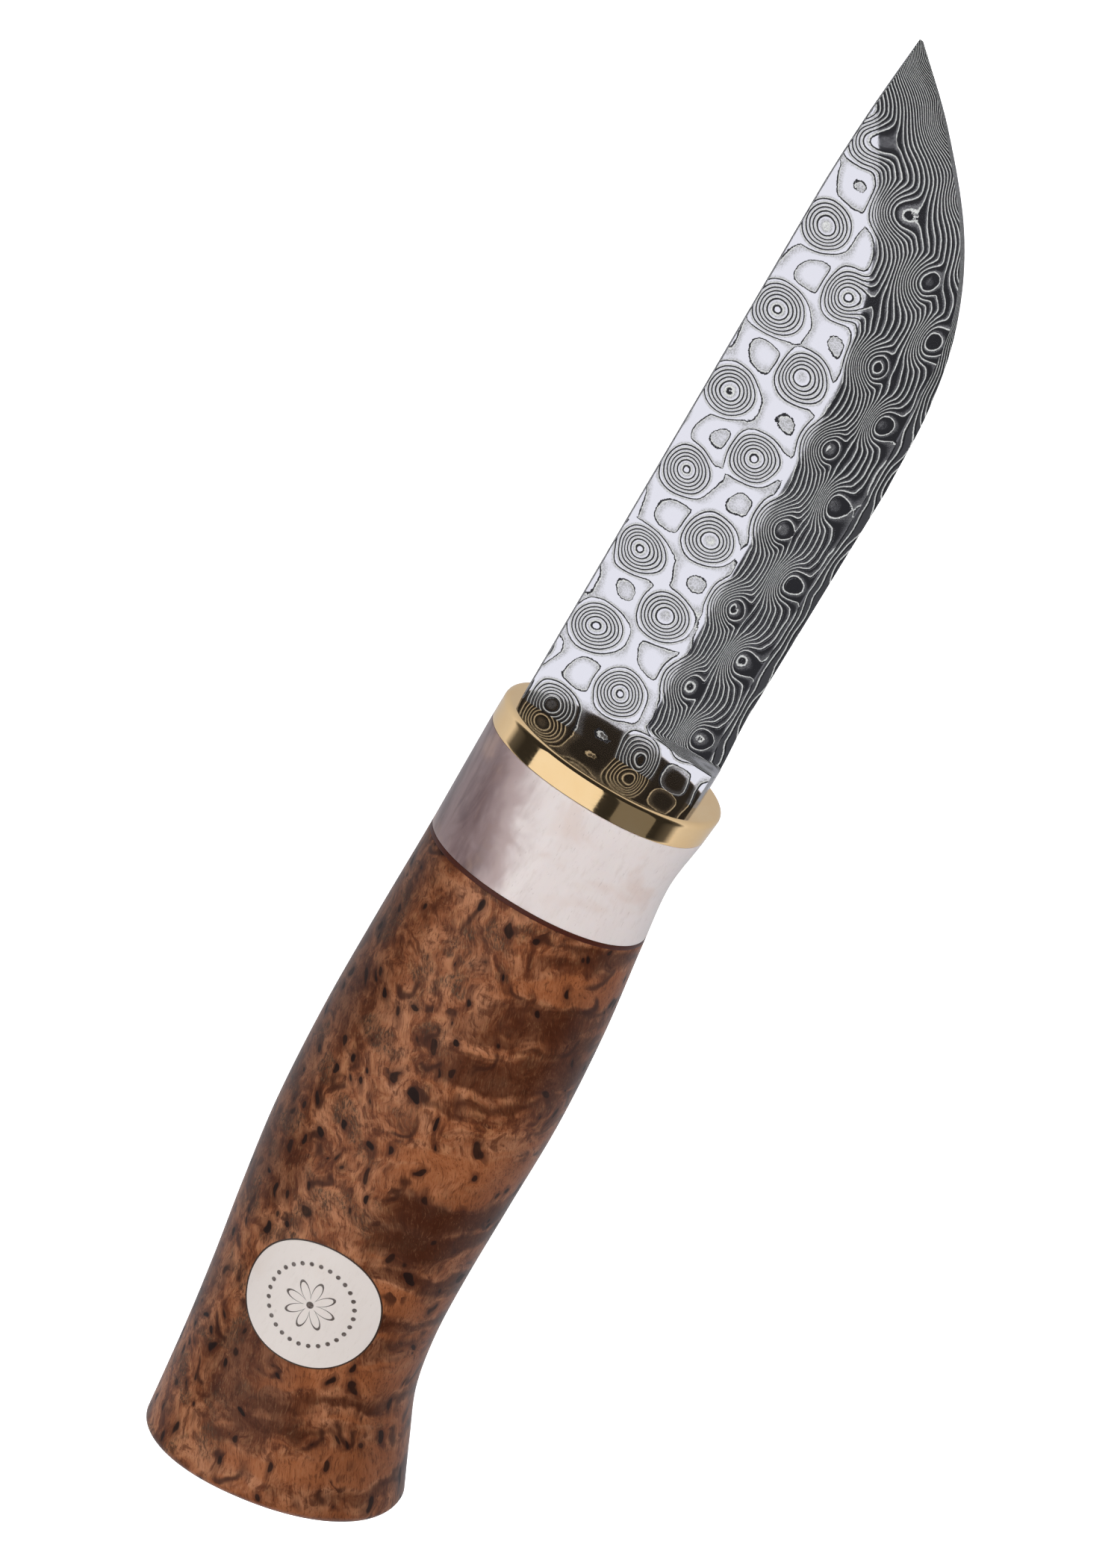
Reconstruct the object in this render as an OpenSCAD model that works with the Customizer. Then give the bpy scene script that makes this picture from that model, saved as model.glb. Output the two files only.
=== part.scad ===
// Nordic belt knife with a damascus stick-tang blade and a stacked handle.
// The knife lies on its side: +X runs to the tip, +Y to the spine, +Z out of the inlaid side.
// The origin is on the bolster's front face, in the middle of the blade's thickness.

/* [Blade] */
// Length of the blade in front of the bolster
blade_len = 97.4; // [80:0.2:120]
// Height of the spine above the origin
spine_y = 13.55; // [12:0.05:14]
// Depth of the straight cutting edge below the origin
edge_y = 12.1; // [10:0.05:13]
// Thickness of the steel at the spine
blade_t = 3.5; // [2.6:0.1:3.8]
// Height of the point above the origin
tip_y = 12.4; // [8:0.1:13]
// Where the belly starts to curve up to the point
belly_x = 48; // [35:1:60]
// Where the spine starts to drop to the point
drop_x = 76; // [60:1:85]
// Length of the full-thickness ricasso in front of the bolster
ricasso_len = 4.8; // [3:0.1:8]
// Length over which the grind starts
plunge_len = 1.2; // [0.6:0.1:4]
// Width of the small secondary bevel along the edge
micro_w = 1.7; // [0.6:0.1:2]
// Thickness of the steel where the secondary bevel starts
micro_t = 0.9; // [0.5:0.1:1.1]

/* [Tang] */
// Length of the tang behind the bolster's front face
tang_len = 88; // [60:1:95]
// Height of the tang at the bolster
tang_h = 12; // [8:0.5:14]
// Height of the tang at its end
tang_end_h = 7; // [5:0.5:10]
// Thickness of the tang
tang_t = 3.2; // [2:0.1:3.4]
// Height of the channel bored for the tang
channel_h = 14; // [14:0.5:16]
// Width of the channel bored for the tang
channel_w = 5.4; // [4.5:0.1:6.5]

/* [Handle stack] */
// Thickness of the brass bolster
bolster_len = 3.9; // [3:0.1:6]
// Radius of the bolster's rounded front rim
rim_r = 0.8; // [0.3:0.1:1.2]
// Depth of the recess that holds the blade's shoulders
recess = 0.5; // [0.2:0.1:1]
// Clearance around the steel in the bolster
fit_gap = 0.05; // [0.03:0.01:0.1]
// Length of the antler spacer on the centre line
spacer_len = 16.1; // [10:0.1:25]
// Thickness of the fibre liner
liner_t = 0.65; // [0.4:0.1:1.5]
// Distance from the bolster's front face to the edge of the butt
butt_u = 112.6; // [105:0.2:114]
// How far the rounded butt stands out past its edge
butt_dome = 4.4; // [2:0.1:6]
// Radius of the butt's rounded edge
edge_r = 2.7; // [1:0.1:4]
// How much the butt is turned out of square, in degrees
butt_lean = 12.4; // [0:0.5:15]
// Squareness of the handle's cross-section, where 2 is an ellipse
roundness = 2.12; // [2:0.01:2.6]

/* [Inlay] */
// Place of the inlay along the handle
inlay_x = -84; // [-92:0.5:-60]
// Place of the inlay across the handle
inlay_y = -4.1; // [-6:0.1:2]
// Half-axis of the inlay nearest the handle's length
inlay_a = 8.95; // [6:0.05:10]
// Half-axis of the inlay nearest the handle's height
inlay_b = 9.3; // [5:0.05:10]
// Turn of the inlay's half-axes from the handle's, in degrees
inlay_turn = 8; // [-90:1:90]
// Height of the inlay's seat above the middle of the handle
inlay_z = 8.4; // [7:0.1:10]
// Width of the glue line around the inlay
glue_w = 0.22; // [0.1:0.02:0.5]

/* [Hidden] */

ring_n = 64;
spacer_u = bolster_len;
liner_u = bolster_len + spacer_len;
wood_u = liner_u + liner_t;
wood_rings = 38;
channel_end = 93;

// The handle's side view and thickness: place, spine height, edge height, half-thickness.
SHAPE = [
    [0, 15.7, -15.9, 12.0],
    [4, 15.75, -15.6, 11.7],
    [12, 15.7, -14.85, 11.5],
    [21, 15.62, -15.8, 11.8],
    [35, 15.72, -17.6, 12.5],
    [50, 15.6, -18.75, 12.9],
    [65, 14.75, -18.93, 12.8],
    [78, 13.1, -19.1, 12.5],
    [88, 11.6, -19.65, 12.4],
    [97, 10.4, -21.2, 12.7],
    [105, 9.5, -24.2, 13.4],
    [114, 8.6, -27.8, 14.2]
];

// The belly of the blade, from the end of the straight edge to the point: place, height.
BELLY = [
    [belly_x, -edge_y],
    [mix(belly_x, blade_len, 0.24), mix(-edge_y, tip_y, 0.033)],
    [mix(belly_x, blade_len, 0.45), mix(-edge_y, tip_y, 0.13)],
    [mix(belly_x, blade_len, 0.65), mix(-edge_y, tip_y, 0.33)],
    [mix(belly_x, blade_len, 0.85), mix(-edge_y, tip_y, 0.667)],
    [blade_len, tip_y - 0.15]
];

// The line where the flats end and the main bevels start: place, height.
GRIND = [
    [0, -2.1],
    [20, -1.3],
    [44, -0.9],
    [56, -0.4],
    [66, 2.2],
    [76, 6.2],
    [87, 12.6],
    [98, 20]
];

function mix(a, b, t) = a + (b - a) * t;
function ease(t) = let (c = min(1, max(0, t))) c * c * (3 - 2 * c);
function arch(c) = sign(c) * pow(abs(c), 2 / roundness);

// Smooth curve through column c of a list of knots, whose first column is the place.
function knot_before(k, u, i = 0) =
    i >= len(k) - 2 || u < k[i + 1][0] ? i : knot_before(k, u, i + 1);
function knot_slope(k, i, c) =
    let (a = max(0, i - 1), b = min(len(k) - 1, i + 1)) (k[b][c] - k[a][c]) / (k[b][0] - k[a][0]);
function along(k, u, c) =
    let (
        i = knot_before(k, u),
        h = k[i + 1][0] - k[i][0],
        t = (u - k[i][0]) / h,
        out = knot_slope(k, i, c) * h,
        in = knot_slope(k, i + 1, c) * h
    )
    k[i][c] * (1 + 2 * t) * (1 - t) * (1 - t) + k[i + 1][c] * t * t * (3 - 2 * t)
    + out * t * (1 - t) * (1 - t) - in * t * t * (1 - t);

// The joints of the stack are square at the bolster and lean more and more towards the butt.
function lean(u) = tan(butt_lean) * max(0, u - bolster_len) / (butt_u - bolster_len);

// One cross-section of the handle, drawn in by inset, then scaled by size and moved back by push.
function ring(u, inset = 0, push = 0, size = 1) =
    let (
        top = along(SHAPE, u, 1),
        low = along(SHAPE, u, 2),
        half_h = ((top - low) / 2 - inset) * size,
        half_t = (along(SHAPE, u, 3) - inset) * size
    )
    [for (i = [0:ring_n - 1]) let (
        a = 360 * i / ring_n,
        dy = half_h * arch(cos(a)),
        dz = half_t * arch(sin(a))
    ) [-u - push - lean(u) * dy, (top + low) / 2 + dy, dz]];

// A closed solid through a list of rings that all have the same number of points.
module loft(rings) {
    n = len(rings[0]);
    last = len(rings) - 1;
    points = [for (r = rings) for (p = r) p];
    sides = [for (j = [0:last - 1]) for (i = [0:n - 1]) let (
        a = j * n + i,
        b = j * n + (i + 1) % n
    ) each [[a, a + n, b], [b, a + n, b + n]]];
    caps = [[for (i = [0:n - 1]) i], [for (i = [0:n - 1]) last * n + n - 1 - i]];
    polyhedron(points, concat(sides, caps), convexity = 6);
}

// Rings of the wood from its front to the edge of the butt, and those of the rounded butt.
WOOD_U = [for (i = [0:wood_rings]) mix(wood_u, butt_u, i / wood_rings)];
edge_push = edge_r * 0.75;
BUTT = concat(
    [for (a = [15:15:75]) ring(butt_u, edge_r * (1 - cos(a)), edge_push * sin(a))],
    [for (f = [1, 0.8, 0.55, 0.3, 0.06])
        ring(butt_u, edge_r, edge_push + (butt_dome - edge_push) * (1 - f * f), f)]
);

module tang_bar(grow = 0) {
    low = tang_t / 2 + grow;
    translate([0, 0, -low])
        linear_extrude(2 * low)
            polygon([
                [1, -tang_h / 2 - grow], [1, tang_h / 2 + grow],
                [-tang_len - grow, tang_end_h / 2 + grow], [-tang_len - grow, -tang_end_h / 2 - grow]
            ]);
}

// The stadium-shaped channel for the tang between two distances behind the bolster's face.
module channel(from, to) {
    translate([-to, 0, 0])
        rotate([0, 90, 0])
            linear_extrude(to - from) {
                square([channel_w, channel_h - channel_w], center = true);
                for (s = [-1, 1]) translate([0, s * (channel_h - channel_w) / 2])
                    circle(d = channel_w, $fn = 32);
            }
}

// Half of one blade section at x, from the spine to the edge, as [height, half-thickness].
function spine_at(x) = spine_y - (spine_y - tip_y) * pow(max(0, x - drop_x) / (blade_len - drop_x), 1.5);
function belly_at(x) = x < belly_x ? -edge_y : along(BELLY, min(x, blade_len), 1);
function grind_at(x) = along(GRIND, max(0, x), 1);
function blade_half(x) =
    let (
        f = ease((x - ricasso_len) / plunge_len),
        top = spine_at(x),
        low = belly_at(x) - 0.5 * (1 - ease((x - ricasso_len) / 9)),
        tall = top - low,
        w = mix(0.4, mix(micro_w, 0.5, ease((x - 56) / 18)) * min(1, tall / 4), f),
        thick = blade_t / 2,
        mid = low + w,
        z_mid = mix(thick, min(micro_t / 2, 0.06 + tall * 0.03), f),
        g = grind_at(x),
        slope = (thick - z_mid) / (g - mid),
        z_top = g < top - 0.3 ? thick : min(thick, z_mid + slope * (top - mid)),
        c = min(0.25, tall * 0.08),
        ridge = min(g, mix(mid, top - c, 0.6)),
        z_ridge = g < top - 0.3 && g <= ridge ? thick : z_mid + slope * (ridge - mid)
    )
    [
        [top, max(0.05, z_top - c)],
        [top - c, max(0.08, z_top)],
        [ridge, max(0.08, min(thick, z_ridge))],
        [mid, max(0.07, z_mid)],
        [low, mix(thick - 0.4, 0.04, f)]
    ];
function blade_ring(x, at) =
    let (h = blade_half(x))
    concat(
        [for (p = h) [at, p[0], p[1]]],
        [for (i = [len(h) - 1:-1:0]) [at, h[i][0], -h[i][1]]]
    );

module blade_steel() {
    ricasso = [-recess, 2.6, ricasso_len];
    plunge = [for (i = [1:4]) ricasso_len + i * plunge_len / 4];
    body = concat([7.5], [for (x = [10:3:70]) x]);
    point = [for (i = [0:14]) mix(72.5, blade_len - 0.25, 1 - pow(1 - i / 14, 1.4))];
    loft([for (x = concat(ricasso, plunge, body, point)) blade_ring(max(0, x), x)]);
}

module blade() {
    color("lightsteelblue") union() {
        blade_steel();
        tang_bar();
    }
}

// The bolster's plate with its slot for the tang and its shallow seat for the blade's shoulders.
module slotted_plate() {
    shoulder_low = -edge_y - 0.5 - fit_gap;
    difference() {
        translate([-bolster_len, 0, 0])
            rotate([90, 0, 90])
                linear_extrude(bolster_len)
                    polygon([for (p = ring(0, -1)) [p[1], p[2]]]);
        translate([-bolster_len - 1, -tang_h / 2 - fit_gap, -tang_t / 2 - fit_gap])
            cube([bolster_len + 2, tang_h + 2 * fit_gap, tang_t + 2 * fit_gap]);
        translate([-recess - fit_gap, shoulder_low, -blade_t / 2 - fit_gap])
            cube([1, spine_y + fit_gap - shoulder_low, blade_t + 2 * fit_gap]);
    }
}

module bolster() {
    rim = [for (a = [90:-22.5:0]) ring(rim_r * (1 - sin(a)), rim_r * (1 - cos(a)))];
    color("goldenrod") intersection() {
        slotted_plate();
        loft(concat(rim, [ring(bolster_len)]));
    }
}

module antler_spacer() {
    color("linen") difference() {
        loft([for (i = [0:8]) ring(mix(spacer_u, liner_u, i / 8))]);
        channel(0, 40);
    }
}

module fibre_liner() {
    color("maroon") difference() {
        loft([ring(liner_u), ring(wood_u)]);
        channel(0, 40);
    }
}

// The plug shape of the inlay, an oval a little squared off, grown by g and dropped by drop.
module inlay_plug(g = 0, drop = 0) {
    oval = [for (i = [0:47]) let (
        a = 360 * i / 48,
        r = 1 - 0.012 * cos(4 * a) + 0.006 * cos(3 * a + 40)
    ) [(inlay_a * r + g) * cos(a), (inlay_b * r + g) * sin(a)]];
    translate([inlay_x, inlay_y, inlay_z - drop])
        rotate([0, 0, inlay_turn])
            linear_extrude(8)
                polygon(oval);
}

module wood_blank() {
    loft(concat([for (u = WOOD_U) ring(u)], BUTT));
}

module birch_handle() {
    color("peru") difference() {
        wood_blank();
        channel(0, channel_end);
        inlay_plug(glue_w, glue_w);
    }
}

module tang_epoxy() {
    color("dimgray") difference() {
        channel(bolster_len, channel_end);
        tang_bar();
    }
}

module antler_inlay() {
    color("ivory") intersection() {
        wood_blank();
        inlay_plug();
    }
}

module inlay_adhesive() {
    color("saddlebrown") difference() {
        intersection() {
            wood_blank();
            inlay_plug(glue_w, glue_w);
        }
        inlay_plug();
    }
}

blade();
bolster();
antler_spacer();
fibre_liner();
birch_handle();
tang_epoxy();
antler_inlay();
inlay_adhesive();
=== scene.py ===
"""Nordic belt knife: finished meshes, materials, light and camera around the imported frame.

Shapes are worked out in millimetres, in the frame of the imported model: +X to the tip,
+Y to the spine, +Z out of the side with the inlay. Meshes are written in metres.
"""
import math

import bmesh
import bpy
from mathutils import Matrix, Vector

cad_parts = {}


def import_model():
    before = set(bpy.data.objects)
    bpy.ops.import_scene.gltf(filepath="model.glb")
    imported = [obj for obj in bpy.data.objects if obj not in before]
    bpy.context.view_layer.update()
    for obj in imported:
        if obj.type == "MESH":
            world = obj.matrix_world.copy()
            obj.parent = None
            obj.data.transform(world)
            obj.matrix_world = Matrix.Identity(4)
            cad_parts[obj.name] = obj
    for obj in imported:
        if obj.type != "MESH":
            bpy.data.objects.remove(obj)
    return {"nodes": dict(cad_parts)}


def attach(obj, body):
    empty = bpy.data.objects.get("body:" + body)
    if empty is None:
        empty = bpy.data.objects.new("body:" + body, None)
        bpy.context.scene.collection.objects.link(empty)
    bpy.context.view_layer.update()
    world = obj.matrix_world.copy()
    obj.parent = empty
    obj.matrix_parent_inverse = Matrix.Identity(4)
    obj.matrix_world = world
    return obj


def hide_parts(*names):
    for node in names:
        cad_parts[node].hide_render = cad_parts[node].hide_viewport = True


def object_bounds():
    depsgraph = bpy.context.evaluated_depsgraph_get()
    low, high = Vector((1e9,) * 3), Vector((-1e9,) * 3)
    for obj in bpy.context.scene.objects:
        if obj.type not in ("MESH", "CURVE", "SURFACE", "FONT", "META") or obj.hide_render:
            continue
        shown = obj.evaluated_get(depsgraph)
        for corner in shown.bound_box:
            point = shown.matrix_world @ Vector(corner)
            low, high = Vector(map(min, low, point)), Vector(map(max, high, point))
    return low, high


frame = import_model()
CAD_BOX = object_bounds()
MM = 0.001

# ---------------------------------------------------------------- driving sizes, in mm
BLADE_LEN = 97.4
SPINE_Y = 13.55
EDGE_Y = 12.1
TIP_Y = 12.4
BLADE_T = 3.5
BELLY_X = 48.0
DROP_X = 76.0
RICASSO = 4.8
PLUNGE = 1.2
MICRO_W = 1.7
MICRO_T = 0.9
SHOULDER = 0.5
TANG = dict(length=88.0, height=12.0, end_height=7.0, thickness=3.2)

BOLSTER_LEN = 3.9
RIM_R = 0.8
SPACER_LEN = 16.1
LINER_T = 0.65
BUTT_U = 112.6
BUTT_DOME = 4.4
EDGE_R = 2.7
BUTT_LEAN = math.tan(math.radians(12.4))
ROUNDNESS = 2.12
SKIN = 0.02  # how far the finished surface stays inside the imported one

LINER_U = BOLSTER_LEN + SPACER_LEN
WOOD_U = LINER_U + LINER_T

INLAY = dict(x=-84.0, y=-4.1, a=8.95, b=9.3, turn=math.radians(8), seat=8.4)
GLUE_W = 0.22

# Side view and thickness of the handle: place, spine height, edge height, half-thickness.
SHAPE = [
    (0, 15.7, -15.9, 12.0),
    (4, 15.75, -15.6, 11.7),
    (12, 15.7, -14.85, 11.5),
    (21, 15.62, -15.8, 11.8),
    (35, 15.72, -17.6, 12.5),
    (50, 15.6, -18.75, 12.9),
    (65, 14.75, -18.93, 12.8),
    (78, 13.1, -19.1, 12.5),
    (88, 11.6, -19.65, 12.4),
    (97, 10.4, -21.2, 12.7),
    (105, 9.5, -24.2, 13.4),
    (114, 8.6, -27.8, 14.2),
]
# Where the flats of the blade end and its bevels start: place, height.
GRIND = [(0, -2.1), (20, -1.3), (44, -0.9), (56, -0.4), (66, 2.2), (76, 6.2), (87, 12.6), (98, 20)]
# The belly, as shares of the way from its start to the point: place, height.
BELLY = [(0, 0), (0.24, 0.033), (0.45, 0.13), (0.65, 0.33), (0.85, 0.667), (1, 0.9939)]


# ---------------------------------------------------------------- curves
def lerp(a, b, t):
    return a + (b - a) * t


def ease(t):
    c = min(1.0, max(0.0, t))
    return c * c * (3 - 2 * c)


def along(knots, u, column=1):
    """Smooth curve through one column of the knots, whose first column is the place."""
    last = len(knots) - 1
    i = 0
    while i < last - 1 and u >= knots[i + 1][0]:
        i += 1

    def slope(j):
        a = knots[max(0, j - 1)]
        b = knots[min(last, j + 1)]
        return (b[column] - a[column]) / (b[0] - a[0])

    h = knots[i + 1][0] - knots[i][0]
    t = (u - knots[i][0]) / h
    start = knots[i][column] * (1 + 2 * t) * (1 - t) ** 2
    end = knots[i + 1][column] * t * t * (3 - 2 * t)
    return start + end + slope(i) * h * t * (1 - t) ** 2 - slope(i + 1) * h * t * t * (1 - t)


def arch(c):
    return math.copysign(abs(c) ** (2 / ROUNDNESS), c)


def handle_ring(u, inset=0.0, push=0.0, size=1.0, n=160):
    """One cross-section of the handle, which leans more and more towards the butt."""
    top = along(SHAPE, u, 1)
    low = along(SHAPE, u, 2)
    half_h = ((top - low) / 2 - inset - SKIN) * size
    half_t = (along(SHAPE, u, 3) - inset - SKIN) * size
    lean = BUTT_LEAN * max(0.0, u - BOLSTER_LEN) / (BUTT_U - BOLSTER_LEN)
    ring = []
    for i in range(n):
        a = 2 * math.pi * i / n
        dy = half_h * arch(math.cos(a))
        ring.append((-u - push - lean * dy, (top + low) / 2 + dy, half_t * arch(math.sin(a))))
    return ring


# ---------------------------------------------------------------- meshes
def mesh_object(name, bm, sharp_deg=40):
    bmesh.ops.recalc_face_normals(bm, faces=bm.faces)
    mesh = bpy.data.meshes.new(name)
    bm.to_mesh(mesh)
    bm.free()
    for polygon in mesh.polygons:
        polygon.use_smooth = True
    mesh.set_sharp_from_angle(angle=math.radians(sharp_deg))
    piece = bpy.data.objects.new(name, mesh)
    bpy.context.scene.collection.objects.link(piece)
    return piece


def add_loft(bm, rings):
    """A closed skin over rings with equal counts, given in mm."""
    rows = [[bm.verts.new(Vector(p) * MM) for p in ring] for ring in rings]
    n = len(rows[0])
    for near, far in zip(rows, rows[1:]):
        for i in range(n):
            bm.faces.new((near[i], far[i], far[(i + 1) % n], near[(i + 1) % n]))
    bm.faces.new(rows[0])
    bm.faces.new(list(reversed(rows[-1])))
    return rows


def spaced(start, end, step):
    count = max(1, round(abs(end - start) / step))
    return [lerp(start, end, i / count) for i in range(count + 1)]


def eased_joint(u0, u1, step, round_mm):
    """Rings of a stacked piece, with a hair of rounding where it meets its neighbours."""
    rings = [handle_ring(u0, round_mm)]
    rings.append(handle_ring(u0 + round_mm * 0.4, round_mm * 0.3))
    rings += [handle_ring(u) for u in spaced(u0 + round_mm, u1 - round_mm, step)]
    rings.append(handle_ring(u1 - round_mm * 0.4, round_mm * 0.3))
    rings.append(handle_ring(u1, round_mm))
    return rings


def stack_piece(name, rings, sharp_deg=40):
    bm = bmesh.new()
    add_loft(bm, rings)
    return mesh_object(name, bm, sharp_deg)


def bolster_rings():
    rings = []
    steps = 10
    for i in range(steps, -1, -1):
        a = math.pi / 2 * i / steps
        rings.append(handle_ring(RIM_R * (1 - math.sin(a)), RIM_R * (1 - math.cos(a))))
    rings += [handle_ring(u) for u in spaced(RIM_R, BOLSTER_LEN - 0.15, 0.3)[1:]]
    rings.append(handle_ring(BOLSTER_LEN - 0.04, 0.04))
    rings.append(handle_ring(BOLSTER_LEN, 0.15))
    return rings


def wood_rings():
    rings = [handle_ring(WOOD_U, 0.06), handle_ring(WOOD_U + 0.03, 0.02)]
    rings += [handle_ring(u) for u in spaced(WOOD_U + 0.08, BUTT_U, 0.8)]
    edge_push = EDGE_R * 0.75 - SKIN
    for i in range(1, 12):
        a = math.radians(75) * i / 11
        rings.append(handle_ring(BUTT_U, EDGE_R * (1 - math.cos(a)), edge_push * math.sin(a)))
    for i in range(13):
        f = 1 - 0.96 * i / 12
        push = edge_push + (BUTT_DOME - SKIN - edge_push) * (1 - f * f)
        rings.append(handle_ring(BUTT_U, EDGE_R, push, f))
    return rings


def oval(grow=0.0, count=96):
    """The outline of the inlay, an oval a little squared off, in mm."""
    points = []
    for i in range(count):
        a = 2 * math.pi * i / count
        r = 1 - 0.012 * math.cos(4 * a) + 0.006 * math.cos(3 * a + math.radians(40))
        px = (INLAY["a"] * r + grow) * math.cos(a)
        py = (INLAY["b"] * r + grow) * math.sin(a)
        c, s = math.cos(INLAY["turn"]), math.sin(INLAY["turn"])
        points.append((INLAY["x"] + px * c - py * s, INLAY["y"] + px * s + py * c))
    return points


def top_height(x, y):
    """Height of the handle's inlaid side above a point, found on the leaning cross-sections."""
    u = -x
    for _ in range(6):
        top = along(SHAPE, u, 1)
        low = along(SHAPE, u, 2)
        lean = BUTT_LEAN * max(0.0, u - BOLSTER_LEN) / (BUTT_U - BOLSTER_LEN)
        u = -x - lean * (y - (top + low) / 2)
    half_h = (top - low) / 2 - SKIN
    half_t = along(SHAPE, u, 3) - SKIN
    c = min(1.0, abs(y - (top + low) / 2) / half_h) ** (ROUNDNESS / 2)
    return half_t * math.sqrt(max(0.0, 1 - c * c)) ** (2 / ROUNDNESS)


def plug(name, grow_out, grow_in, rise, floor_z):
    """A plug or ring of the inlay's outline, whose top follows the handle."""
    bm = bmesh.new()
    rounds = 24
    outer = oval(grow_out)
    inner = oval(grow_in) if grow_in is not None else None
    rows = []
    for j in range(rounds + 1):
        f = j / rounds
        row = []
        for i, (ox, oy) in enumerate(outer):
            ix, iy = inner[i] if inner else (INLAY["x"], INLAY["y"])
            g = f if inner else f * 0.985
            x, y = lerp(ox, ix, g), lerp(oy, iy, g)
            row.append(bm.verts.new(Vector((x, y, top_height(x, y) + rise)) * MM))
        rows.append(row)
    n = len(outer)
    for near, far in zip(rows, rows[1:]):
        for i in range(n):
            bm.faces.new((near[i], near[(i + 1) % n], far[(i + 1) % n], far[i]))
    foot = [bm.verts.new(Vector((x, y, floor_z)) * MM) for x, y in outer]
    for i in range(n):
        bm.faces.new((rows[0][i], foot[i], foot[(i + 1) % n], rows[0][(i + 1) % n]))
    if inner:
        foot_in = [bm.verts.new(Vector((x, y, floor_z)) * MM) for x, y in inner]
        for i in range(n):
            k = (i + 1) % n
            bm.faces.new((rows[-1][i], rows[-1][k], foot_in[k], foot_in[i]))
            bm.faces.new((foot[i], foot_in[i], foot_in[k], foot[k]))
    else:
        bm.faces.new(rows[-1])
        bm.faces.new(list(reversed(foot)))
    return mesh_object(name, bm)


def cut_pocket(wood):
    """Sinks the inlay's pocket into the wood, so the plug and its glue line really sit in it."""
    bm = bmesh.new()
    low = [bm.verts.new(Vector((x, y, INLAY["seat"] - GLUE_W)) * MM) for x, y in oval(GLUE_W)]
    high = [bm.verts.new(Vector((x, y, 20.0)) * MM) for x, y in oval(GLUE_W)]
    n = len(low)
    for i in range(n):
        bm.faces.new((low[i], low[(i + 1) % n], high[(i + 1) % n], high[i]))
    bm.faces.new(list(reversed(low)))
    bm.faces.new(high)
    cutter = mesh_object("pocket_cutter", bm)
    modifier = wood.modifiers.new("pocket", "BOOLEAN")
    modifier.operation = "DIFFERENCE"
    modifier.solver = "EXACT"
    modifier.object = cutter
    graph = bpy.context.evaluated_depsgraph_get()
    graph.update()
    carved = bpy.data.meshes.new_from_object(wood.evaluated_get(graph))
    wood.modifiers.clear()
    wood.data = carved
    bpy.data.objects.remove(cutter)
    for polygon in carved.polygons:
        polygon.use_smooth = True
    carved.set_sharp_from_angle(angle=math.radians(40))


# ---------------------------------------------------------------- the blade
def spine_at(x):
    return SPINE_Y - (SPINE_Y - TIP_Y) * (max(0.0, x - DROP_X) / (BLADE_LEN - DROP_X)) ** 1.5


def belly_at(x):
    if x < BELLY_X:
        return -EDGE_Y
    share = (min(x, BLADE_LEN) - BELLY_X) / (BLADE_LEN - BELLY_X)
    return lerp(-EDGE_Y, TIP_Y, along(BELLY, share))


def blade_profile(x):
    """Half of one blade section, from the spine to the edge: [(height, half-thickness)]."""
    f = ease((x - RICASSO) / PLUNGE)
    top = spine_at(x)
    low = belly_at(x) - 0.5 * (1 - ease((x - RICASSO) / 9))
    tall = top - low
    w = lerp(0.4, lerp(MICRO_W, 0.5, ease((x - 56) / 18)) * min(1, tall / 4), f)
    thick = BLADE_T / 2
    mid = low + w
    z_mid = lerp(thick, min(MICRO_T / 2, 0.06 + tall * 0.03), f)
    grind = along(GRIND, max(0.0, x))
    slope = (thick - z_mid) / (grind - mid)
    chamfer = min(0.25, tall * 0.08)
    soften = 0.9 * f

    def face(y):
        """The flat, the bevel, and the rounded line between them."""
        d = grind - y
        if d <= -soften or soften < 1e-6 and d <= 0:
            return thick
        if d >= soften:
            return thick - slope * d
        return thick - slope * (d + soften) ** 2 / (4 * soften)

    z_top = face(top - chamfer)
    points = [(top, max(0.05, z_top - chamfer))]
    points.append((top - chamfer * 0.3, max(0.06, z_top - chamfer * 0.35)))
    count = 46
    for i in range(count + 1):
        y = lerp(top - chamfer, mid, i / count)
        points.append((y, max(0.07, min(thick, face(y)))))
    points[-1] = (mid, max(0.07, z_mid))
    for i in range(1, 5):
        y = lerp(mid, low, i / 4)
        z = lerp(max(0.07, z_mid), lerp(thick - 0.4, 0.04, f), i / 4)
        points.append((y, z))
    return points


def blade_ring(x, at):
    half = blade_profile(x)
    front = [(at, y, z) for y, z in half]
    back = [(at, y, -z) for y, z in reversed(half)]
    return front + back


def blade_piece():
    bm = bmesh.new()
    xs = [-SHOULDER, 1.2, 2.6, 3.8, RICASSO]
    xs += spaced(RICASSO, RICASSO + PLUNGE, 0.12)[1:]
    xs += spaced(RICASSO + PLUNGE, 8.0, 0.25)[1:]
    xs += spaced(8.0, 72.0, 1.0)[1:]
    xs += [lerp(72.0, BLADE_LEN - 0.28, 1 - (1 - i / 40) ** 1.3) for i in range(1, 41)]
    add_loft(bm, [blade_ring(max(0.0, x), x) for x in xs])
    half_t = TANG["thickness"] / 2
    start, end = -SHOULDER + 0.2, -TANG["length"]
    profile = [(start, TANG["height"] / 2), (end, TANG["end_height"] / 2)]
    corners = [(x, s * y, z) for z in (-half_t, half_t) for x, y in profile for s in (1, -1)]
    verts = [bm.verts.new(Vector(p) * MM) for p in corners]
    sides = ((0, 1, 3, 2), (4, 6, 7, 5), (0, 2, 6, 4), (1, 5, 7, 3), (0, 4, 5, 1), (2, 3, 7, 6))
    for side in sides:
        bm.faces.new([verts[i] for i in side])
    return mesh_object("damascus_blade", bm, 8.5)


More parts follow.
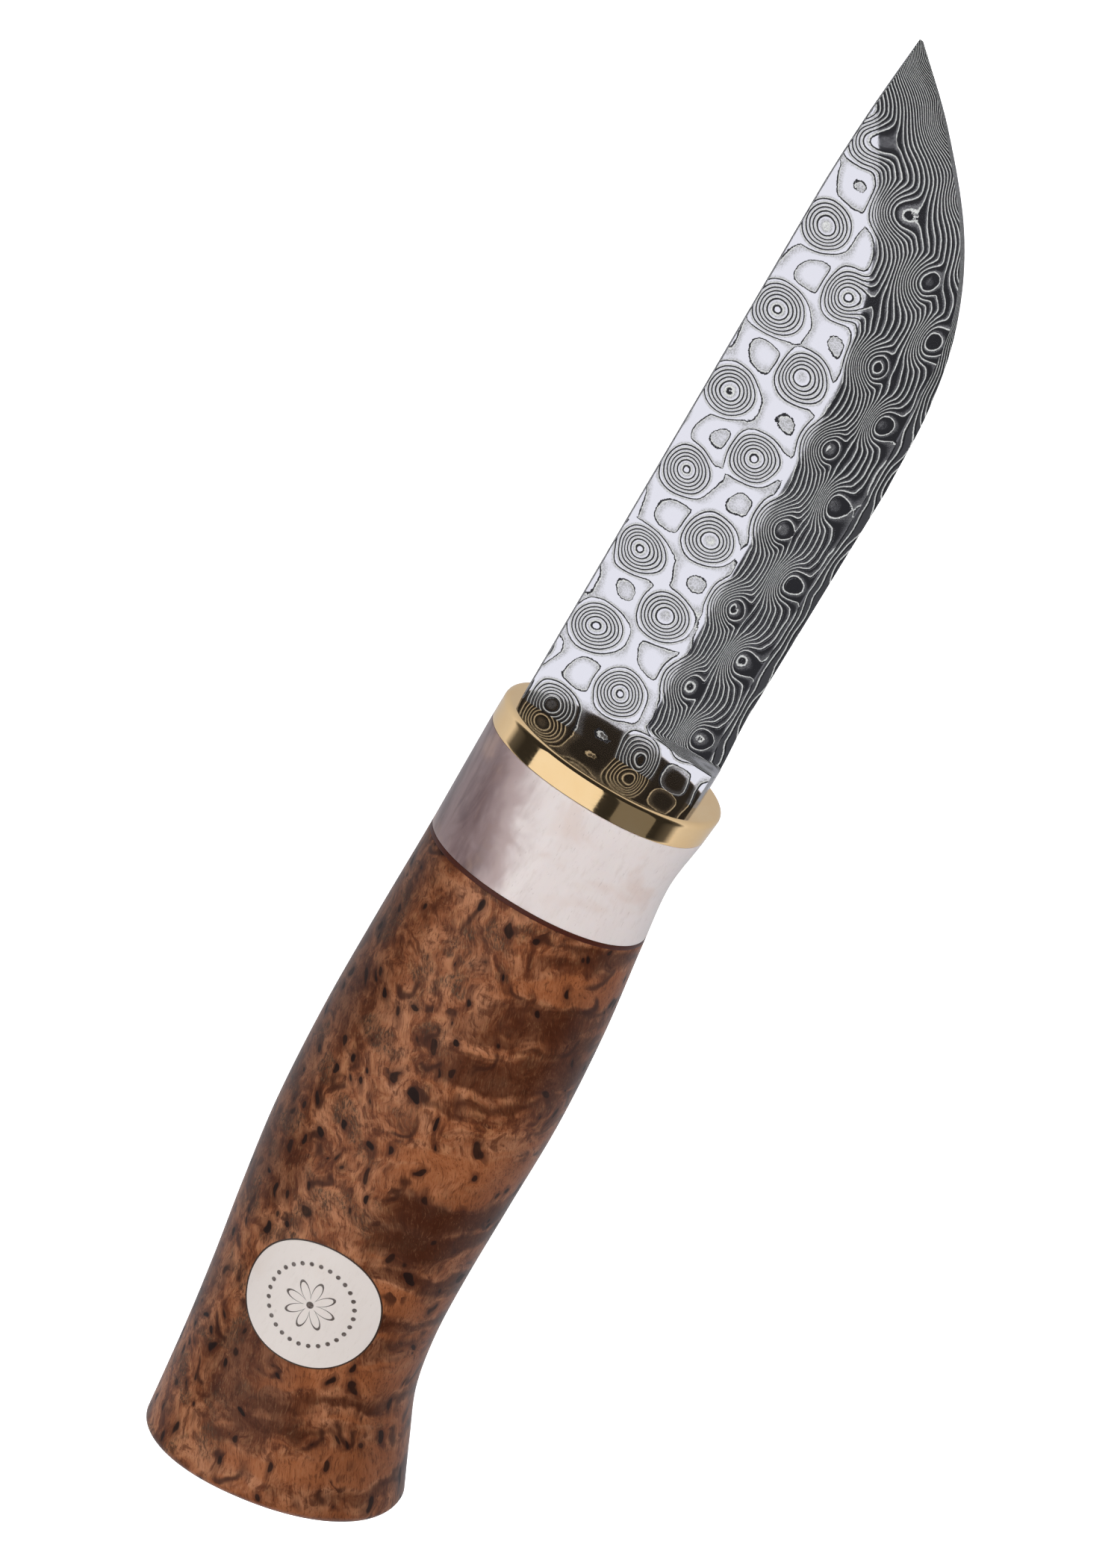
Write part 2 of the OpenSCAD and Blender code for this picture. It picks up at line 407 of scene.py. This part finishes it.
# ---------------------------------------------------------------- shader helper
class Wire:
    """A number on its way through a shader, with plain arithmetic."""

    def __init__(self, graph, socket):
        self.graph = graph
        self.socket = socket

    def __add__(self, other):
        return self.graph.math("ADD", self, other)

    def __radd__(self, other):
        return self.graph.math("ADD", other, self)

    def __sub__(self, other):
        return self.graph.math("SUBTRACT", self, other)

    def __rsub__(self, other):
        return self.graph.math("SUBTRACT", other, self)

    def __mul__(self, other):
        return self.graph.math("MULTIPLY", self, other)

    def __rmul__(self, other):
        return self.graph.math("MULTIPLY", other, self)

    def __truediv__(self, other):
        return self.graph.math("DIVIDE", self, other)


class Graph:
    """One node material, read from top to bottom as plain formulas."""

    def __init__(self, name):
        self.material = bpy.data.materials.new(name)
        self.material.use_nodes = True
        self.tree = self.material.node_tree
        self.tree.nodes.clear()
        self.output = self.tree.nodes.new("ShaderNodeOutputMaterial")
        self.shader = self.tree.nodes.new("ShaderNodeBsdfPrincipled")
        self.tree.links.new(self.shader.outputs["BSDF"], self.output.inputs["Surface"])

    def feed(self, socket, value):
        if isinstance(value, Wire):
            self.tree.links.new(value.socket, socket)
        elif isinstance(value, tuple) and len(value) == 3 and socket.type == "RGBA":
            socket.default_value = (*value, 1.0)
        else:
            socket.default_value = value

    def node(self, kind, inputs=(), out=0, **settings):
        made = self.tree.nodes.new("ShaderNode" + kind)
        for key, value in settings.items():
            setattr(made, key, value)
        for key, value in dict(inputs).items():
            self.feed(made.inputs[key], value)
        return Wire(self, made.outputs[out])

    def math(self, operation, *values):
        return self.node("Math", enumerate(values), operation=operation)

    def step(self, value, low, high):
        """A soft step: 0 at low, 1 at high, which may be the smaller."""
        ends = {"Value": value, "From Min": low, "From Max": high}
        return self.node("MapRange", ends, interpolation_type="SMOOTHSTEP")

    def mix(self, factor, a, b):
        """A colour part of the way from a to b."""
        made = self.tree.nodes.new("ShaderNodeMix")
        made.data_type = "RGBA"
        self.feed(made.inputs[0], factor)
        self.feed(made.inputs[6], a)
        self.feed(made.inputs[7], b)
        return Wire(self, made.outputs[2])

    def blend(self, factor, a, b):
        """A number part of the way from a to b."""
        made = self.tree.nodes.new("ShaderNodeMix")
        self.feed(made.inputs[0], factor)
        self.feed(made.inputs[2], a)
        self.feed(made.inputs[3], b)
        return Wire(self, made.outputs[0])

    def place(self):
        """Object coordinates in mm, whole and as x, y and z."""
        spot = self.node("TexCoord", out=3)
        scaled = self.node("VectorMath", {0: spot, "Scale": 1000.0}, operation="SCALE")
        return scaled, *self.split(scaled)

    def split(self, vector):
        made = self.tree.nodes.new("ShaderNodeSeparateXYZ")
        self.feed(made.inputs[0], vector)
        return [Wire(self, made.outputs[i]) for i in range(3)]

    def join(self, x, y, z):
        return self.node("CombineXYZ", {0: x, 1: y, 2: z})

    def noise(self, vector, scale, detail=3.0, rough=0.5, distortion=0.0, out=0):
        inputs = {
            "Vector": vector,
            "Scale": scale,
            "Detail": detail,
            "Roughness": rough,
            "Distortion": distortion,
        }
        return self.node("TexNoise", inputs, out=out)

    def ramp(self, factor, stops):
        made = self.tree.nodes.new("ShaderNodeValToRGB")
        self.feed(made.inputs[0], factor)
        elements = made.color_ramp.elements
        while len(elements) < len(stops):
            elements.new(0.5)
        for element, (position, color) in zip(elements, stops):
            element.position = position
            element.color = (*color, 1.0)
        return Wire(self, made.outputs[0])

    def bump(self, height, strength, distance_mm):
        inputs = {"Height": height, "Strength": strength, "Distance": distance_mm * MM}
        return self.node("Bump", inputs)

    def surface(self, **inputs):
        names = {"color": "Base Color", "specular": "Specular IOR Level", "coat": "Coat Weight"}
        for key, value in inputs.items():
            self.feed(self.shader.inputs[names.get(key, key.replace("_", " ").title())], value)
        return self.material


# ---------------------------------------------------------------- materials
# The pressed drops of the damascus, in mm, how many layers each cuts through, and where one is.
DROP_PITCH = 11.8
ROW_PITCH = 6.7
DROP_R = 4.15
DROP_LAYERS = 5.3
FIRST_DROP = (1.6, 9.87)
LAYERS_PER_MM = 14.2


def forged_layers(g, x, y, z, drift, offset):
    """Counts the forged layers below a point: flat sheets, dented in staggered rows of drops."""
    depth = g.math("ABSOLUTE", z)
    far_side = g.math("LESS_THAN", z, 0.0)
    # The rows close up below the third one, and open again towards the edge.
    low = y + 8.4
    below = (low - g.math("SQRT", low * low + 1.0)) * 0.5
    squeezed = y + g.math("MINIMUM", y + 3.4, 0.0) * 0.7 - below * 0.75
    first_x, first_y = FIRST_DROP
    u = x - first_x + (squeezed - first_y) * 0.0135 + drift[0] + far_side * 4.0
    v = squeezed - first_y - (x - first_x) * 0.0135 + drift[1] + far_side * 2.3
    squares = []
    for shift_u, shift_v in ((0.0, 0.0), (DROP_PITCH / 2, ROW_PITCH)):
        p = g.math("WRAP", u + shift_u, DROP_PITCH / 2, -DROP_PITCH / 2)
        q = g.math("WRAP", v + shift_v, ROW_PITCH, -ROW_PITCH)
        squares.append(p * p + q * q)
    r = g.math("MINIMUM", g.math("SQRT", g.math("MINIMUM", *squares)) / DROP_R, 1.0)
    # Along the edge the drops fade, and the layers run with it.
    fade = g.step(y, -11.0, -9.2)
    dent = (g.math("COSINE", r * math.pi) * 0.5 + 0.5) * (fade * 0.8 + 0.2) * DROP_LAYERS
    press = depth * depth * (0.35 / (BLADE_T / 2) ** 2) + 0.65
    wave_u = g.math("COSINE", u * (2 * math.pi / DROP_PITCH))
    wave_v = g.math("COSINE", (v + 1.5) * (math.pi / ROW_PITCH))
    swell = wave_u * wave_v
    ground = BLADE_T / 2 - depth
    return depth * LAYERS_PER_MM - dent * press - swell * 1.05 - below * ground * 0.9 + offset


def damascus():
    """Etched layers: a thin dark crevice, a pale etched line, then polished land that fades in."""
    g = Graph("damascus_steel")
    spot, x, y, z = g.place()
    wx, wy, _ = g.split(g.noise(spot, 0.11, 1.0, 0.4, out=1))
    drift = ((wx - 0.5) * 1.1, (wy - 0.5) * 1.1)
    fine = g.noise(spot, 2.6, 2.0, 0.7)
    offset = (g.noise(spot, 0.1, 2.0, 0.5) - 0.5) * 3.2 + (fine - 0.5) * 0.16 + 0.45
    here = forged_layers(g, x, y, z, drift, offset)
    # How fast the layers pass along the surface, so every line gets the same width.
    nx, ny, nz = g.split(g.node("NewGeometry", out=3))
    facing = g.math("SIGN", nz) * g.math("MAXIMUM", g.math("ABSOLUTE", nz), 0.25)
    hop = 0.04
    ahead = forged_layers(g, x + hop, y, z - nx / facing * hop, drift, offset) - here
    aside = forged_layers(g, x, y + hop, z - ny / facing * hop, drift, offset) - here
    rate = g.math("SQRT", ahead * ahead + aside * aside) / hop
    t = g.math("FRACT", here)
    crevice_to = g.math("MINIMUM", rate * 0.19, 0.4)
    etched_to = g.math("MINIMUM", rate * 0.32, 0.64)
    crevice = g.step(t, crevice_to * 1.2, crevice_to * 0.8)
    etched = g.step(t, etched_to * 1.12, etched_to * 0.88) * (1.0 - crevice)
    speckle = g.step(g.noise(spot, 6.0, 2.0, 0.6), 0.44, 0.58)
    veil = g.step(t, etched_to + 0.42, etched_to) * (speckle * 0.6 + 0.4)
    land = g.mix(veil, (0.76, 0.76, 0.84), (0.42, 0.42, 0.43))
    # The honed strip along the edge is darker.
    honed = g.step(g.math("ABSOLUTE", z), MICRO_T / 2 + 0.02, MICRO_T / 2 - 0.04)
    land = g.mix(honed * 0.75, land, (0.1, 0.1, 0.115))
    pale = g.mix(speckle, (0.74, 0.75, 0.74), (0.95, 0.96, 0.95))
    color = g.mix(crevice, g.mix(etched, land, pale), (0.025, 0.025, 0.03))
    rough = g.blend(g.math("MAXIMUM", crevice, etched), veil * 0.18 + 0.06, 0.42)
    metal = (1.0 - veil * 0.22) * (1.0 - etched * 0.68) * (1.0 - crevice * 0.4)
    relief = g.bump(0.0 - crevice, 0.3, 0.03)
    return g.surface(color=color, roughness=rough, metallic=metal, normal=relief)


def brass():
    g = Graph("brass")
    spot, *_ = g.place()
    stretched = g.node("VectorMath", {0: spot, 1: (6.0, 0.35, 0.35)}, operation="MULTIPLY")
    brushed = g.noise(stretched, 1.0, 3.0, 0.6)
    cloud = g.noise(spot, 0.25, 3.0, 0.6)
    color = g.mix(cloud, (0.88, 0.6, 0.3), (0.93, 0.7, 0.41))
    rough = g.step(brushed, 0.3, 0.8) * 0.07 + 0.05
    relief = g.bump(brushed, 0.04, 0.01)
    return g.surface(color=color, roughness=rough, metallic=1.0, normal=relief)


def antler(name, tint=1.0):
    """Antler: pale, with a darker core showing on the spine side as strongly as tint says."""
    g = Graph(name)
    spot, x, y, z = g.place()
    fibre = g.node("VectorMath", {0: spot, 1: (0.22, 0.8, 0.8)}, operation="MULTIPLY")
    grain = g.noise(fibre, 2.2, 4.0, 0.6)
    streak = g.noise(fibre, 0.33, 3.0, 0.55, 0.6)
    cloud = g.noise(spot, 0.13, 3.0, 0.55, 0.5)
    uneven = (cloud - 0.5) * 14.0 + (streak - 0.5) * 5.0
    side = g.step(y - (x + 10.0) * 0.35 + uneven, 0.5, 13.5) * tint
    pale = g.mix(streak, (0.91, 0.83, 0.815), (0.83, 0.74, 0.715))
    core = g.mix(g.step(streak, 0.35, 0.65), (0.15, 0.095, 0.1), (0.3, 0.21, 0.21))
    middle = g.mix(streak, (0.46, 0.34, 0.335), (0.58, 0.46, 0.45))
    color = g.mix(g.step(side, 0.0, 0.5), pale, middle)
    color = g.mix(g.step(side, 0.45, 1.0), color, core)
    color = g.mix(g.step(cloud, 0.52, 0.72) * 0.3, color, (0.66, 0.43, 0.32))
    color = g.mix(g.step(grain, 0.5, 0.75) * 0.18, color, (0.5, 0.38, 0.33))
    pore = g.step(g.noise(fibre, 5.0, 1.0, 0.5), 0.68, 0.78)
    color = g.mix(pore * 0.25, color, (0.35, 0.25, 0.22))
    relief = g.bump(grain - pore * 0.5, 0.12, 0.05)
    return g, color, relief, spot, x, y, z


def antler_spacer_material():
    g, color, relief, *_ = antler("antler")
    g.feed(g.shader.inputs["Subsurface Weight"], 0.15)
    g.feed(g.shader.inputs["Subsurface Radius"], (0.002, 0.0012, 0.0008))
    return g.surface(color=color, roughness=0.32, normal=relief, coat=0.2)


# The ornament: eight petals in a ring of dots.
PETALS = 8
DOTS = 28
DOT_RING_R = 5.9


def inlay_material():
    """Antler with a scorched ring ornament of dots and petals."""
    g, color, relief, spot, x, y, z = antler("antler_ornament", tint=0.15)
    color = g.mix(0.45, color, (0.92, 0.86, 0.78))
    px = x - INLAY["x"]
    py = y - INLAY["y"]
    r = g.math("SQRT", px * px + py * py)
    a = g.math("ARCTAN2", py, px)
    petal = g.math("ABSOLUTE", g.math("COSINE", a * (PETALS / 2)))
    edge = petal * 2.6 + 0.9
    rosette = g.step(g.math("ABSOLUTE", r - edge), 0.22, 0.14) * g.step(r, 0.5, 0.7)
    centre = g.step(r, 0.55, 0.45)
    turn = g.math("WRAP", a * (DOTS / (2 * math.pi)), -0.5, 0.5)
    across = turn * (2 * math.pi / DOTS) * r
    dr = r - DOT_RING_R
    dots = g.step(g.math("SQRT", across * across + dr * dr), 0.36, 0.26)
    mark = g.math("MAXIMUM", g.math("MAXIMUM", rosette, centre), dots)
    burn = mark * (g.noise(spot, 3.0, 2.0, 0.6) * 0.4 + 0.7)
    color = g.mix(g.math("MINIMUM", burn, 1.0), color, (0.045, 0.022, 0.014))
    relief = g.bump(1.0 - mark, 0.5, 0.12)
    return g.surface(color=color, roughness=0.35, normal=relief, coat=0.15)


def fibre():
    g = Graph("red_fibre")
    spot, *_ = g.place()
    grain = g.noise(spot, 3.0, 3.0, 0.6)
    color = g.mix(grain, (0.045, 0.01, 0.006), (0.09, 0.022, 0.012))
    return g.surface(color=color, roughness=0.4, normal=g.bump(grain, 0.2, 0.05), specular=0.25)


def glue():
    g = Graph("cured_glue")
    spot, *_ = g.place()
    grain = g.noise(spot, 2.0, 2.0, 0.6)
    color = g.mix(grain, (0.02, 0.01, 0.006), (0.06, 0.03, 0.018))
    return g.surface(color=color, roughness=0.35)


def crescents(g, place, inner, thick):
    """Curved dark brows round scattered centres: 1 on a brow, 0 off it."""
    centre = g.node("TexVoronoi", {"Vector": place, "Scale": 1.0, "Randomness": 1.0}, out=2)
    tint = g.node("TexVoronoi", {"Vector": place, "Scale": 1.0, "Randomness": 1.0}, out=1)
    chance, size, turn = g.split(tint)
    dx, dy, dz = g.split(g.node("VectorMath", {0: place, 1: centre}, operation="SUBTRACT"))
    r = g.math("SQRT", dx * dx + dy * dy + dz * dz)
    angle = g.math("ARCTAN2", dy, dx) + (turn - 0.5) * 2.4
    taper = g.math("MAXIMUM", g.math("COSINE", angle + 2.6), 0.0)
    off = g.math("ABSOLUTE", r - (size * 0.14 + inner))
    line = g.step(off, thick * 1.3, thick * 0.2)
    return line * g.step(taper, 0.1, 0.7) * g.step(chance, 0.2, 0.28)


# Each cloud of dark figure in the wood: place along and across the handle, radius, strength.
DARK_CLOUDS = [
    (-67.0, -11.0, 8.5, 0.85),
    (-98.0, -2.0, 10.0, 0.62),
    (-84.0, -14.0, 6.0, 0.55),
    (-44.0, 9.5, 6.0, 0.4),
    (-71.0, 9.0, 6.5, 0.5),
    (-95.0, 13.0, 8.0, 0.5),
    (-31.0, -14.0, 5.0, 0.45),
]


def curly_birch():
    """Masur birch: mottled tan, flame bands on the edge side, swirling fibres and dark pips."""
    g = Graph("curly_birch")
    spot, x, y, z = g.place()
    swirl = g.noise(spot, 0.16, 2.0, 0.5, out=1)
    bend = g.node("VectorMath", {0: swirl, 1: (0.5, 0.5, 0.5)}, operation="SUBTRACT")
    sway = g.node("VectorMath", {0: bend, "Scale": 2.6}, operation="SCALE")
    bend = g.node("VectorMath", {0: bend, "Scale": 6.0}, operation="SCALE")
    bx, by, bz = g.split(g.node("VectorMath", {0: spot, 1: bend}, operation="ADD"))
    sx, sy, sz = g.split(g.node("VectorMath", {0: spot, 1: sway}, operation="ADD"))
    # Along and across the fibres, which run a little askew to the handle.
    la = bx * 0.9 + by * 0.42
    lb = by * 0.9 - bx * 0.42
    sa = sx * 0.9 + sy * 0.42
    sb = sy * 0.9 - sx * 0.42
    edge_side = g.step(y + (g.noise(spot, 0.08, 2.0, 0.5) - 0.5) * 16.0, 2.0, -9.0)
    # Mottling in two sizes.
    mottle = g.noise(g.join(la * 0.2, lb * 0.3, bz * 0.3), 1.0, 4.0, 0.6, 0.2)
    smoke = g.noise(g.join(la * 0.5, lb * 0.8, bz * 0.8), 1.0, 4.0, 0.62, 0.35)
    color = g.ramp(mottle, [
        (0.3, (0.52, 0.225, 0.115)),
        (0.45, (0.43, 0.17, 0.08)),
        (0.56, (0.27, 0.088, 0.036)),
        (0.7, (0.085, 0.022, 0.009)),
    ])
    color = g.mix(g.step(smoke, 0.5, 0.63) * 0.74, color, (0.1, 0.027, 0.011))
    color = g.mix(g.step(smoke, 0.46, 0.34) * 0.5, color, (0.5, 0.22, 0.1))
    # Large dark clouds, where the burl turns away.
    edges = (g.noise(spot, 0.22, 3.0, 0.6) - 0.5) * 11.0
    for cx, cy, radius, strength in DARK_CLOUDS:
        away = g.math("SQRT", (x - cx) * (x - cx) * 0.6 + (y - cy) * (y - cy)) + edges
        color = g.mix(g.step(away, radius, radius * 0.3) * strength, color, (0.05, 0.014, 0.008))
    # Flames: reddish bands that run across the handle on its edge side.
    band = g.noise(g.join(bx * 0.26 + by * 0.08, by * 0.035, bz * 0.035), 1.0, 2.0, 0.5, 0.3)
    color = g.mix(g.step(band, 0.47, 0.62) * edge_side * 0.85, color, (0.06, 0.014, 0.005))
    color = g.mix(g.step(band, 0.49, 0.38) * edge_side * 0.7, color, (0.36, 0.115, 0.042))
    # Open grain: greyish patches full of fine pores.
    grey = g.step(g.noise(spot, 0.21, 2.0, 0.5), 0.52, 0.64) * (1.0 - edge_side * 0.7)
    pores = g.step(g.noise(g.join(sa * 1.6, sb * 4.6, sz * 4.6), 1.0, 2.0, 0.6), 0.48, 0.58)
    color = g.mix(grey * (pores * 0.6 + 0.25), color, (0.07, 0.042, 0.026))
    # Fibres, which swirl less than the figure does.
    strand = g.noise(g.join(sa * 0.6, sb * 5.0, sz * 5.0), 1.0, 3.0, 0.7)
    color = g.mix(g.step(strand, 0.5, 0.66) * 0.62, color, (0.05, 0.016, 0.007))
    color = g.mix(g.step(strand, 0.45, 0.3) * (0.32 - edge_side * 0.14), color, (0.5, 0.27, 0.14))
    # Pips: dark almonds along the fibres, and brows where the figure swirls.
    cell_place = g.join(la * 0.25, lb * 0.46, bz * 0.46)
    near = g.node("TexVoronoi", {"Vector": cell_place, "Scale": 1.0, "Randomness": 1.0})
    tint = g.node("TexVoronoi", {"Vector": cell_place, "Scale": 1.0, "Randomness": 1.0}, out=1)
    chance, size, depth = g.split(tint)
    limit = (size * 0.16 + 0.13) * g.step(chance - edge_side * 0.4, 0.0, 0.06)
    pip = g.step(near, limit * 1.1, limit * 0.75)
    halo = g.step(near, limit * 2.4, limit)
    brow = crescents(g, g.join(bx * 0.15, by * 0.18, bz * 0.18), 0.2, 0.09)
    color = g.mix(halo * 0.6, color, (0.07, 0.02, 0.01))
    color = g.mix(brow * 0.85, color, (0.045, 0.013, 0.007))
    color = g.mix(pip * (depth * 0.2 + 0.78), color, (0.012, 0.005, 0.004))
    # Painted shade: both long sides, where the handle rounds away from the light, are darkened in
    # the colour.
    painted_edge_shade = g.step(y, 6.0, 16.0) * 0.58 + g.step(y, -11.0, -20.0) * 0.3
    color = g.mix(painted_edge_shade, color, (0.03, 0.012, 0.008))
    relief = g.bump(strand * 0.35 - pip - brow * 0.3, 0.12, 0.06)
    rough = g.blend(pip, g.step(strand, 0.3, 0.8) * 0.06 + 0.3, 0.42)
    return g.surface(color=color, roughness=rough, normal=relief, specular=0.15)


# ---------------------------------------------------------------- pieces
def finish_piece(piece, material, node):
    piece.data.materials.clear()
    piece.data.materials.append(material)
    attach(piece, "root")
    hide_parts(node)


def build_knife():
    finish_piece(blade_piece(), damascus(), "blade")
    finish_piece(stack_piece("brass_bolster", bolster_rings(), 30), brass(), "bolster")
    spacer = stack_piece("antler_ring", eased_joint(BOLSTER_LEN, LINER_U, 0.5, 0.05))
    finish_piece(spacer, antler_spacer_material(), "antler_spacer")
    liner = stack_piece("fibre_ring", eased_joint(LINER_U, WOOD_U, 0.2, 0.03))
    finish_piece(liner, fibre(), "fibre_liner")
    wood = stack_piece("birch_grip", wood_rings())
    cut_pocket(wood)
    finish_piece(wood, curly_birch(), "birch_handle")
    medallion = plug("antler_medallion", -0.01, None, 0.03, INLAY["seat"])
    finish_piece(medallion, inlay_material(), "antler_inlay")
    seam = plug("glue_seam", GLUE_W, 0.0, -0.01, INLAY["seat"] - GLUE_W)
    glue_material = glue()
    finish_piece(seam, glue_material, "inlay_adhesive")
    bed = frame["nodes"]["tang_epoxy"]
    bed.data.materials.clear()
    bed.data.materials.append(glue_material)


# ---------------------------------------------------------------- light
def fill_light(name, location, power):
    """A soft light on the knife that shows in no reflection."""
    data = bpy.data.lights.new(name, "AREA")
    data.shape = "RECTANGLE"
    data.size = 0.8
    data.size_y = 0.8
    data.energy = power
    light = bpy.data.objects.new(name, data)
    bpy.context.scene.collection.objects.link(light)
    light.location = location
    direction = Vector((-0.01, 0, 0)) - light.location
    light.rotation_euler = direction.to_track_quat("-Z", "Y").to_euler()
    light.visible_glossy = False


def panel(spine_angle, distance):
    """A place over the knife, leaning back over the handle and by an angle to the spine side."""
    a = math.radians(spine_angle)
    return Vector((-0.39, math.sin(a) * 0.92, math.cos(a) * 0.92)) * distance


def flat_sheet(name, centre, x, y):
    """One rectangle round its centre, given its two half-sides."""
    bm = bmesh.new()
    corners = (centre - x - y, centre + x - y, centre + x + y, centre - x + y)
    bm.faces.new([bm.verts.new(p) for p in corners])
    mesh = bpy.data.meshes.new(name)
    bm.to_mesh(mesh)
    bm.free()
    sheet = bpy.data.objects.new(name, mesh)
    bpy.context.scene.collection.objects.link(sheet)
    return sheet


def softbox(name, centre, along_x, along_y, size, radiance):
    """A glowing panel, set square to its own two directions."""
    x = Vector(along_x).normalized() * size[0] / 2
    y = Vector(along_y).normalized() * size[1] / 2
    sheet = flat_sheet(name, centre, x, y)
    material = bpy.data.materials.new(name)
    material.use_nodes = True
    tree = material.node_tree
    tree.nodes.clear()
    glow = tree.nodes.new("ShaderNodeEmission")
    glow.inputs["Strength"].default_value = radiance
    out = tree.nodes.new("ShaderNodeOutputMaterial")
    tree.links.new(glow.outputs[0], out.inputs["Surface"])
    sheet.data.materials.append(material)
    sheet.visible_camera = False


def floor(height):
    """A plain white sheet. It stays out of reflections, where the world stands in for it."""
    half = 6.0
    sheet = flat_sheet("floor", Vector((0, 0, height)), Vector((half, 0, 0)), Vector((0, half, 0)))
    g = Graph("floor")
    g.feed(g.shader.inputs["Emission Color"], (1.0, 1.0, 1.0))
    g.feed(g.shader.inputs["Emission Strength"], 1.0)
    paper = g.surface(color=(0.9, 0.9, 0.9), roughness=0.9, specular=0.0)
    sheet.data.materials.append(paper)
    sheet.visible_glossy = False
    sheet.visible_diffuse = False


# Brightness of the surroundings from straight below (0) to straight above (1).
WORLD_STOPS = [(0.0, 0.55), (0.46, 0.72), (0.53, 0.8), (0.6, 0.12), (0.7, 0.03), (1.0, 0.03)]


def world():
    """Pale below and round the horizon, dark overhead, so only the softbox glows up there."""
    studio = bpy.data.worlds.new("studio")
    studio.use_nodes = True
    tree = studio.node_tree
    spot = tree.nodes.new("ShaderNodeTexCoord")
    split = tree.nodes.new("ShaderNodeSeparateXYZ")
    tree.links.new(spot.outputs["Generated"], split.inputs[0])
    share = tree.nodes.new("ShaderNodeMapRange")
    share.inputs["From Min"].default_value = -1.0
    tree.links.new(split.outputs["Z"], share.inputs["Value"])
    ramp = tree.nodes.new("ShaderNodeValToRGB")
    elements = ramp.color_ramp.elements
    while len(elements) < len(WORLD_STOPS):
        elements.new(0.5)
    for element, (position, level) in zip(elements, WORLD_STOPS):
        element.position = position
        element.color = (level, level, level * 1.04, 1.0)
    tree.links.new(share.outputs[0], ramp.inputs[0])
    tree.links.new(ramp.outputs[0], tree.nodes["Background"].inputs[0])
    bpy.context.scene.world = studio


def light_scene():
    low = CAD_BOX[0]
    floor(low[2] - 0.0005)
    world()
    # The large softbox stands over the handle, on the spine side; flats mirror it, bevels don't.
    softbox("softbox", panel(19.5, 0.9), (0.924, 0, 0.383), (0, 0.943, -0.334), (1.2, 0.78), 1.0)
    softbox("strip", panel(-35, 0.9), (0.924, 0, 0.383), (0, 0.82, 0.57), (1.2, 0.5), 0.2)
    fill_light("fill", (0.2, -0.5, 0.9), 9.0)
    fill_light("fill_back", (0.0, 0.4, 0.9), 5.0)


# ---------------------------------------------------------------- camera
LENS_MM = 100.0
SENSOR_MM = 36.0
DISTANCE = 0.5503
TILT = math.radians(22.5)
ROLL = 0.083
BLADE_UP = (0.512, 0.859)  # the knife's axis in the view: right and up
VIEW_SHIFT = (0.00708, -0.00385)


def camera():
    back = Vector((math.sin(TILT), -ROLL, math.cos(TILT))).normalized()
    axis = Vector((1, 0, 0))
    axis = (axis - back * back.x).normalized()
    across = back.cross(axis)
    right = axis * BLADE_UP[0] - across * BLADE_UP[1]
    up = axis * BLADE_UP[1] + across * BLADE_UP[0]
    place = back * DISTANCE - axis * VIEW_SHIFT[0] - across * VIEW_SHIFT[1]
    data = bpy.data.cameras.new("camera")
    data.lens = LENS_MM
    data.sensor_width = SENSOR_MM
    data.clip_start = 0.01
    view = bpy.data.objects.new("camera", data)
    bpy.context.scene.collection.objects.link(view)
    turn = Matrix((right, up, back)).transposed().to_4x4()
    view.matrix_world = Matrix.Translation(place) @ turn
    bpy.context.scene.camera = view


build_knife()
light_scene()
camera()
bpy.context.scene.view_settings.view_transform = "Standard"
